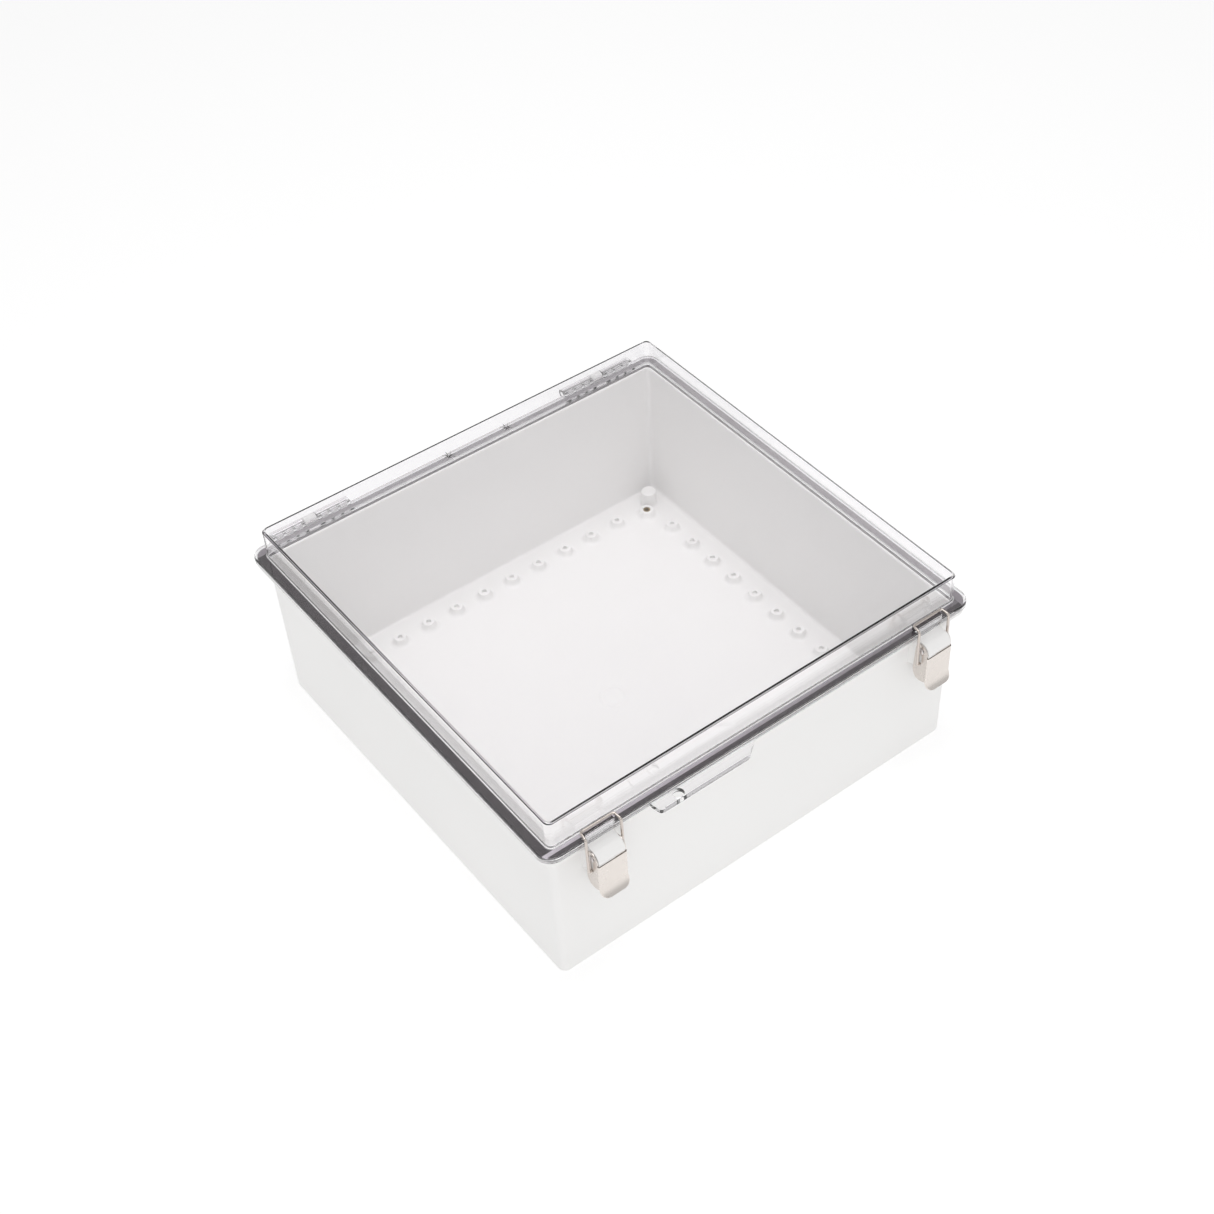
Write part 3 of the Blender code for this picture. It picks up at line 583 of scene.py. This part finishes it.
CORNERS = [(sx, sy) for sx in (-1, 1) for sy in (-1, 1)]
PANEL_BOSS_AT = 158.8
POST_AT = 169.5
for x, y in boss_places():
    add_mesh(tray_bm, spin(BOSS, 32, (x, y, 0.0)))
panel_boss = hollow_profile(11.2, 7.0, 6.0, 16.3, 3.4, 10.0, 10.05)
post = [(9.0, 9.6)] + flare(8.4, 6.9, 10.0, 11.6, 4)
post += arc((5.7, 24.0), 1.0, 0, 90, 4) + [(0.0, 25.0)]
for sx, sy in CORNERS:
    add_mesh(tray_bm, spin(panel_boss, 40, (sx * PANEL_BOSS_AT, sy * PANEL_BOSS_AT, 0.0)))
    add_mesh(tray_bm, spin(post, 40, (sx * POST_AT, sy * POST_AT, 0.0)))
pad = [(20.0, 6.5), (20.0, 0.2), (19.8, 0.0), (0.0, 0.0)]
add_mesh(tray_bm, spin(pad, 64))
gate = [(11.8, 9.98), (10.9, 10.5), (9.7, 10.5), (8.8, 9.98)]
add_mesh(tray_bm, spin(gate, 64))
print("bosses", len(boss_places()), "and", len(CORNERS), "larger ones")

# %% [markdown]
# ## Flat outlines with a thickness
# Brackets, latch cheeks and tabs are all a side view pushed through a thickness. The helper below
# fills an outline, extrudes it and rounds the long edges a little, as pressed or moulded parts are.


# %% Slabs
def slab(points, low, high, along="X", edge=0.0, segments=2):
    """A mesh of an outline pushed from low to high along X (outline in Y, Z) or Z (outline in X, Y)."""
    bm = bmesh.new()
    if along == "X":
        verts = [bm.verts.new((mm(low), mm(a), mm(b))) for a, b in points]
        push = Vector((mm(high - low), 0.0, 0.0))
    else:
        verts = [bm.verts.new((mm(a), mm(b), mm(low))) for a, b in points]
        push = Vector((0.0, 0.0, mm(high - low)))
    face = bm.faces.new(verts)
    made = bmesh.ops.extrude_face_region(bm, geom=[face])
    moved = [g for g in made["geom"] if isinstance(g, bmesh.types.BMVert)]
    bmesh.ops.translate(bm, verts=moved, vec=push)
    bmesh.ops.recalc_face_normals(bm, faces=bm.faces)
    if edge > 0.0:
        sharp = [e for e in bm.edges
                 if len(e.link_faces) == 2 and e.calc_face_angle() > math.radians(50)]
        bmesh.ops.bevel(bm, geom=sharp, offset=mm(edge), segments=segments, affect="EDGES", profile=0.5)
    mesh = bpy.data.meshes.new("slab")
    bm.to_mesh(mesh)
    bm.free()
    return mesh


def rod(radius, low, high, centre, sides=32):
    """A cylinder along X."""
    bm = bmesh.new()
    bmesh.ops.create_cone(bm, cap_ends=True, segments=sides, radius1=mm(radius), radius2=mm(radius),
                          depth=mm(high - low))
    turn = Matrix.Translation((mm((low + high) / 2), mm(centre[0]), mm(centre[1])))
    bmesh.ops.transform(bm, matrix=turn @ Matrix.Rotation(math.pi / 2, 4, "Y"), verts=bm.verts)
    mesh = bpy.data.meshes.new("rod")
    bm.to_mesh(mesh)
    bm.free()
    return mesh


# %% Latch blocks and hinge brackets on the tray
LATCH_X = abs(JOINTS["latch_lever_left_swing"]["pos_m"][0]) * 1000
LEVER_AXIS = tuple(v * 1000 for v in JOINTS["latch_lever_left_swing"]["pos_m"][1:])
BAIL_AXIS = tuple(v * 1000 for v in JOINTS["latch_bail_left_swing"]["pos_m"][1:])
HINGE_AXIS = tuple(v * 1000 for v in JOINTS["lid_hinge"]["pos_m"][1:])
block = [(-189.0, 110.0), (-189.0, 142.6), (-198.0, 142.6), (LEVER_AXIS[0] + 0.5, LEVER_AXIS[1] + 7.2)]
block += arc(LEVER_AXIS, 7.2, 92, 204, 16) + [(-208.5, 127.0), (-197.0, 113.5)]
bracket = [(196.0, 137.6)] + arc((204.8, 140.6), 3.0, -90, 0, 6)
bracket += [(207.8, HINGE_AXIS[1]), (199.9, HINGE_AXIS[1]), (199.9, 143.4), (196.0, 143.4)]
for side in (-1, 1):
    centre = side * LATCH_X
    add_mesh(tray_bm, slab(block, centre - 11.3, centre + 11.3, edge=0.4))
    low, high = sorted((side * 137.3, side * 147.5))
    add_mesh(tray_bm, slab(bracket, low, high, edge=0.25))
    add_mesh(tray_bm, rod(3.99, low, high, HINGE_AXIS))
tray = even_normals(make_object("tray_body", tray_bm, TRAY_MAT))
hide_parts("base_tray")
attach(tray, "base")
print("tray faces", len(tray.data.polygons))

# %% [markdown]
# ## The clear lid
# Light is bent at every surface of a clear part, so the lid must be one closed skin with no walls
# hidden inside it. The shell is skinned like the tray, with a 2 mm bevel along its top edge, and the
# knuckles, catches and tab are joined to it with exact Booleans that remove the inner faces. Pockets
# in the knuckle blocks leave thin ribs, the tab has a raised lip along its front, and two small stars
# stand on the top where the plastic was let into the mould.


# %% Lid shell
TOP_BEVEL = ((190.0, 172.4), (189.85, 172.75), (188.2, 174.32), (187.85, 174.45))


def lid_rings():
    """The lid's section from the ceiling, down inside, round the rib and skirt and up outside."""
    rings = []
    for across, up in arc((187.8, 171.2), 0.5, 90, 0, 4):
        rings.append(outline(across, 4.4 - (188.3 - across) * 0.5, up))
    rings.append(outline(188.3, 4.4, 144.8))
    rings.append(outline(188.5, 4.5, 144.6))
    rings.append(outline(190.1, 5.5, 144.6))
    rings.append(outline(190.3, 5.6, 144.8))
    rings.append(outline(190.3, 5.6, 146.5))
    rings.append(outline(198.2, 10.9, 146.5))
    rings.append(outline(198.2, 10.9, 144.0))
    rings.append(outline(198.4, 11.0, 143.8))
    rings.append(outline(199.2, 11.8, 143.8))
    rings.append(outline(199.5, 12.0, 144.1))
    for across, up in arc((198.3, 147.8), 1.2, 0, 90, 6):
        rings.append(outline(across, 12.0 - (199.5 - across) * 0.6, up))
    for across, up in arc((191.5, 150.5), 1.5, 270, 180, 5):
        rings.append(outline(across, 5.0 + (across - 190.0) * 0.7, up))
    for across, up in TOP_BEVEL:
        rings.append(outline(across, 5.0 - (190.0 - across) * 0.5, up))
    return rings


lid_bm = bmesh.new()
skin(lid_bm, lid_rings())
lid = make_object("lid_cover", lid_bm, LID_MAT)
print("lid skin", len(lid.data.vertices), "points")


# %% Join helpers to the lid
def combine(target, meshes, operation):
    """Joins or cuts the target with each mesh in turn and keeps only the result."""
    for mesh in meshes:
        helper = bpy.data.objects.new("helper", mesh)
        bpy.context.scene.collection.objects.link(helper)
        modifier = target.modifiers.new("join", "BOOLEAN")
        modifier.operation = operation
        modifier.solver = "EXACT"
        modifier.object = helper
        graph = bpy.context.evaluated_depsgraph_get()
        result = bpy.data.meshes.new_from_object(target.evaluated_get(graph))
        target.modifiers.remove(modifier)
        old = target.data
        target.data = result
        bpy.data.meshes.remove(old)
        bpy.data.objects.remove(helper, do_unlink=True)
        bpy.data.meshes.remove(mesh)


def box_mesh(low, high, edge):
    """A block with rounded edges."""
    points = [(low[0], low[1]), (high[0], low[1]), (high[0], high[1]), (low[0], high[1])]
    return slab(points, low[2], high[2], along="Z", edge=edge)


# %% Knuckles, catches, tab and gate marks
KNUCKLES = ((106.7, 136.5), (148.3, 177.6))
POCKETS, POCKET_INSET, POCKET_PITCH, POCKET_WIDTH = 3, 3.0, 8.6, 6.4
STAR_AT = 168.7


def star_ring(x, reach, waist, z):
    """An eight-rayed star outline."""
    turns = [(step * math.pi / 8, reach if step % 2 == 0 else waist) for step in range(16)]
    return [Vector((mm(x + r * math.cos(a)), mm(STAR_AT + r * math.sin(a)), mm(z))) for a, r in turns]


joined, cuts = [], []
for side in (-1, 1):
    centre = side * LATCH_X
    for span in KNUCKLES:
        low, high = sorted((side * span[0], side * span[1]))
        joined.append(box_mesh((low, 197.6, 144.3), (high, HINGE_AXIS[0], 150.3), 0.35))
        joined.append(rod(4.0, low + 0.02, high - 0.02, HINGE_AXIS, 40))
        for number in range(POCKETS):
            x = low + POCKET_INSET + number * POCKET_PITCH
            cuts.append(box_mesh((x, 199.0, 143.9), (x + POCKET_WIDTH, 201.2, 149.2), 0.0))
    low, high = sorted((side * 105.0, side * 179.0))
    cuts.append(rod(2.1, low, high, HINGE_AXIS, 32))
    catch = [(-193.0, 147.6), (-199.3, 147.6), (-199.4, 153.8), (-198.9, 154.35), (-193.6, 154.35),
             (-193.0, 153.7)]
    joined.append(slab(catch, centre - 12.5, centre + 12.5, edge=0.4))
tab = [(-111.0, -198.6), (-111.0, -201.0)] + arc((-106.2, -205.8), 3.8, 190, 270, 6)
tab += [(-31.5, -209.6), (-29.0, -208.7), (-16.0, -198.6)]
joined.append(slab(tab, 141.8, 145.5, along="Z", edge=0.35))
lip = [(-105.5, -209.5), (-31.2, -209.5), (-30.2, -208.2), (-105.0, -208.2)]
joined.append(slab(lip, 144.9, 146.5, along="Z", edge=0.3))
padlock = [(0.0, 140.8), (4.3, 140.8), (4.3, 146.4), (0.0, 146.4)]
cuts.append(spin(padlock, 48, (-90.0, -204.2, 0.0)))
for x in (-28.0, 28.0):
    star = bmesh.new()
    skin(star, [star_ring(x, 6.2, 1.5, 174.2), star_ring(x, 6.2, 1.5, 174.46),
                star_ring(x, 4.6, 0.5, 175.0)])
    bmesh.ops.recalc_face_normals(star, faces=star.faces)
    joined.append(bpy.data.meshes.new("gate star"))
    star.to_mesh(joined[-1])
    star.free()
combine(lid, joined, "UNION")
combine(lid, cuts, "DIFFERENCE")
lid.data.shade_smooth()
lid.data.set_sharp_from_angle(angle=math.radians(38))
even_normals(lid)
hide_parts("clear_lid")
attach(lid, "lid")
print("lid faces", len(lid.data.polygons))

# %% [markdown]
# ## The seal
# The seal sits in the channel between the lid's rib and its skirt. It is a soft strip with rounded
# shoulders and a shallow groove along its face where it meets the tray.


# %% Seal ring
def seal_rings():
    """The seal's section, run once round."""
    section = arc((191.5, 145.0), 0.7, 180, 270, 4) + [(193.0, 144.3), (193.5, 144.65), (194.0, 144.3)]
    section += arc((196.6, 145.0), 0.7, 270, 360, 4) + arc((196.8, 145.7), 0.5, 0, 90, 3)
    section += arc((191.3, 145.7), 0.5, 90, 180, 3)
    return [outline(across, 5.9 + (across - 190.8) * 0.65, up) for across, up in section]


seal_bm = bmesh.new()
skin(seal_bm, seal_rings(), closed=True)
seal = make_object("seal_strip", seal_bm, SEAL_MAT)
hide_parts("lid_gasket")
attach(seal, "lid")
print("seal faces", len(seal.data.polygons))

# %% [markdown]
# ## The latch levers
# Each lever is one strip of stainless sheet: a front plate with its long edges folded back into two
# cheeks. The plate flares out at the bottom for a fingertip. The bends have a radius, because sheet
# can't be folded sharp, and that radius is what catches the light down both sides.


# %% Folded front plate
def plate_section(z, half, lean):
    """One level of the plate: a shallow channel with rounded bends, 0.8 mm thick."""
    front = LEVER_AXIS[0] - 7.5 - lean
    left, right = (-half + 1.2, front + 1.2), (half - 1.2, front + 1.2)
    outer = arc(left, 1.2, 180, 270, 5) + arc(right, 1.2, 270, 360, 5)
    inner = arc(right, 0.4, 360, 270, 5) + arc(left, 0.4, 270, 180, 5)
    return [(x, y, z) for x, y in outer + inner]


def plate_rings():
    """Levels from the top edge down to the rounded, flared tip."""
    levels = [(131.0, 12.4, 0.0), (105.6, 12.4, 0.0)]
    for step in range(1, 13):
        z = 105.6 - step * 8.0 / 12
        round_in = max(0.0, 102.6 - z)
        half = 12.4 - (5.0 - math.sqrt(max(0.0, 25.0 - round_in ** 2)))
        levels.append((z, half, 3.8 * ((105.6 - z) / 8.0) ** 1.5))
    return [plate_section(*level) for level in levels]


def cheek_outline():
    """Side view of one cheek."""
    y0, z0 = LEVER_AXIS
    points = [(-197.7, 111.4), (-199.0, 106.5), (-201.4, 103.6), (-205.0, 103.2)]
    points += [(-208.0, 103.9), (-211.3, 105.4)]
    points += [(-211.3, 131.0), (-211.1, 134.5), (-210.3, 137.2)]
    points += arc((y0, z0), 6.0, 128, 10, 9)
    return points + [(-198.9, 133.0)]


# %% Cut and assemble a lever
SLOT_TOP, SLOT_HALF = 129.2, 1.7
PIVOT_HOLE = 1.85
CHEEKS = ((-12.4, -11.6), (11.6, 12.4))


def lever(side):
    """One lever with its pivot hole and the slot that holds the wire's end."""
    tag = "right" if side > 0 else "left"
    centre = side * LATCH_X
    bm = bmesh.new()
    skin(bm, [[Vector((mm(centre + x), mm(y), mm(z))) for x, y, z in ring] for ring in plate_rings()])
    obj = make_object("lever_" + tag, bm, PLATE_MAT)
    cheeks = []
    for low, high in CHEEKS:
        cheek_bm = bmesh.new()
        add_mesh(cheek_bm, slab(cheek_outline(), centre + low, centre + high))
        cheek = make_object("cheek", cheek_bm, PLATE_MAT)
        slot = arc((BAIL_AXIS[0], SLOT_TOP), SLOT_HALF, 0, 180, 8)
        slot += arc(BAIL_AXIS, SLOT_HALF, 180, 360, 8)
        holes = [rod(PIVOT_HOLE, centre - 14, centre + 14, LEVER_AXIS, 24),
                 slab(slot, centre - 14, centre + 14)]
        combine(cheek, holes, "DIFFERENCE")
        cheeks.append(cheek)
    bm = bmesh.new()
    bm.from_mesh(obj.data)
    for cheek in cheeks:
        bm.from_mesh(cheek.data)
        bpy.data.objects.remove(cheek, do_unlink=True)
    bm.to_mesh(obj.data)
    bm.free()
    obj.data.shade_smooth()
    obj.data.set_sharp_from_angle(angle=math.radians(35))
    obj.data.materials.append(PLATE_EDGE_SHADOW_MAT)
    # The plate's top edge carries a painted shadow: a dark metal that stands in for the shade in the gap
    # between the plate's top edge and the block behind it.
    for face in obj.data.polygons:
        if face.normal.z > 0.9 and face.center.z > mm(130.9) and face.center.y < mm(-211.5):
            face.material_index = 1
    even_normals(obj)
    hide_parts("latch_lever_" + tag)
    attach(obj, "lever_" + tag)
    return obj


levers = [lever(side) for side in (-1, 1)]
print("lever faces", [len(obj.data.polygons) for obj in levers])

# %% [markdown]
# ## The wire bails
# A bail is a length of stainless wire bent in a frame. A curve with a round bevel is the natural way
# to draw wire, and its bends are rounded corners along the curve.


# %% Bent wire
def bend(corners, radius, steps=8):
    """Points along a wire with rounded corners."""
    points = [Vector(corners[0])]
    for before, here, after in zip(corners, corners[1:], corners[2:]):
        corner = Vector(here)
        back, ahead = Vector(before) - corner, Vector(after) - corner
        reach = min(radius, back.length * 0.45, ahead.length * 0.45)
        first, last = corner + back.normalized() * reach, corner + ahead.normalized() * reach
        for step in range(steps + 1):
            t = step / steps
            points.append(first.lerp(corner, t).lerp(corner.lerp(last, t), t))
    return points + [Vector(corners[-1])]


def bail(side):
    """One bail, from cheek to cheek over the lid's catch."""
    tag = "right" if side > 0 else "left"
    centre = side * LATCH_X
    y1, z1 = BAIL_AXIS
    half = [(11.75, y1, z1), (15.0, y1, z1), (15.0, -203.4, 155.1), (14.1, -196.1, 155.8)]
    corners = [(centre + x, y, z) for x, y, z in half]
    corners += [(centre - x, y, z) for x, y, z in reversed(half)]
    curve = bpy.data.curves.new("bail_" + tag, "CURVE")
    curve.dimensions = "3D"
    curve.bevel_depth = mm(1.1)
    curve.bevel_resolution = 5
    curve.use_fill_caps = True
    points = bend(corners, 1.9)
    spline = curve.splines.new("POLY")
    spline.points.add(len(points) - 1)
    for point, place in zip(spline.points, points):
        point.co = (mm(place.x), mm(place.y), mm(place.z), 1.0)
    curve.materials.append(WIRE_MAT)
    obj = bpy.data.objects.new("bail_" + tag, curve)
    bpy.context.scene.collection.objects.link(obj)
    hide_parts("latch_bail_" + tag)
    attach(obj, "bail_" + tag)
    return obj


bails = [bail(side) for side in (-1, 1)]
print("bails", [obj.name for obj in bails])

# %% [markdown]
# ## Small metal pieces
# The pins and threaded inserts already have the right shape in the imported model. They keep it and
# only get their finish.

# %% Finishes for the carried-over pieces
for name, node in NODES.items():
    if "pin" in name:
        finish = PIN_MAT
    elif "insert" in name:
        finish = BRASS_MAT
    else:
        continue
    node.data.materials.clear()
    node.data.materials.append(finish)
print("carried over", sorted(n for n in NODES if "pin" in n or "insert" in n))

# %% [markdown]
# ## Studio
# A plain pale floor, a bright even surround and two large soft lights: the usual set-up for a
# catalogue view of a pale object. The surround is a plain colour, so nothing patterned is reflected.
# The floor gives off a little light of its own, so that it stays white up to the box's foot.


# %% Floor
def make_floor():
    """A large pale floor just under the box."""
    bm = bmesh.new()
    bmesh.ops.create_grid(bm, x_segments=1, y_segments=1, size=6.0)
    bmesh.ops.translate(bm, verts=bm.verts, vec=Vector((0.0, 0.0, -0.0004)))
    mat, tree, shader = start_material("pale studio floor", 0.9)
    shader.inputs["Base Color"].default_value = (0.72, 0.72, 0.72, 1.0)
    shader.inputs["Emission Color"].default_value = (1.0, 1.0, 1.0, 1.0)
    shader.inputs["Emission Strength"].default_value = 0.42
    obj = make_object("studio_floor", bm, mat)
    return obj


print("floor", make_floor().name)

# %% Surround
world = bpy.data.worlds.new("studio surround")
bpy.context.scene.world = world
world.use_nodes = True
surround = world.node_tree.nodes["Background"]
surround.inputs["Color"].default_value = (1.0, 1.0, 1.0, 1.0)
surround.inputs["Strength"].default_value = 0.59
print("surround", world.name)


# %% Soft lights
def soft_light(name, place, target, size, power):
    """A square area light that looks at target."""
    lamp = bpy.data.lights.new(name, "AREA")
    lamp.shape = "SQUARE"
    lamp.size = size
    lamp.energy = power
    obj = bpy.data.objects.new(name, lamp)
    obj.location = place
    obj.rotation_euler = (Vector(target) - Vector(place)).to_track_quat("-Z", "Y").to_euler()
    bpy.context.scene.collection.objects.link(obj)
    return obj


BOX_MIDDLE = (0.0, 0.0, 0.1)
OVERHEAD_WATTS, FILL_WATTS = 11.6, 8.0
soft_light("overhead", (0.0, 0.0, 2.2), BOX_MIDDLE, 1.3, OVERHEAD_WATTS)
soft_light("front fill", (-0.9, -1.9, 1.7), BOX_MIDDLE, 1.6, FILL_WATTS)
bpy.context.scene.view_settings.view_transform = "Standard"

# %% [markdown]
# ## Camera
# The camera looks down at the front left corner. Its turn, tilt and tiny roll are given as angles,
# and the frame is shifted a little so that the box sits below and left of the lens axis.


# %% Camera
def aim(azimuth, elevation, roll):
    """Rotation of a camera that looks back along its azimuth and elevation, with a roll."""
    back = Vector((math.sin(azimuth) * math.cos(elevation),
                   -math.cos(azimuth) * math.cos(elevation), math.sin(elevation)))
    right = Vector((-back.y, back.x, 0.0)).normalized()
    up = back.cross(right)
    across = right * math.cos(roll) + up * math.sin(roll)
    above = up * math.cos(roll) - right * math.sin(roll)
    return Matrix((across, above, back)).transposed()


lens = bpy.data.cameras.new("catalogue camera")
lens.sensor_width = 36.0
lens.lens = 56.285
lens.shift_x = -0.0754
lens.shift_y = 0.0606
camera = bpy.data.objects.new("catalogue camera", lens)
CAMERA_PLACE = (-0.600105, -0.877393, 1.160590)
CAMERA_ANGLES = (-0.66639, 0.81800, -0.01756)
camera.matrix_world = Matrix.Translation(CAMERA_PLACE) @ aim(*CAMERA_ANGLES).to_4x4()
bpy.context.scene.collection.objects.link(camera)
bpy.context.scene.camera = camera
print("camera looks along", [round(v, 3) for v in (camera.matrix_world.to_3x3() @ Vector((0, 0, -1)))])
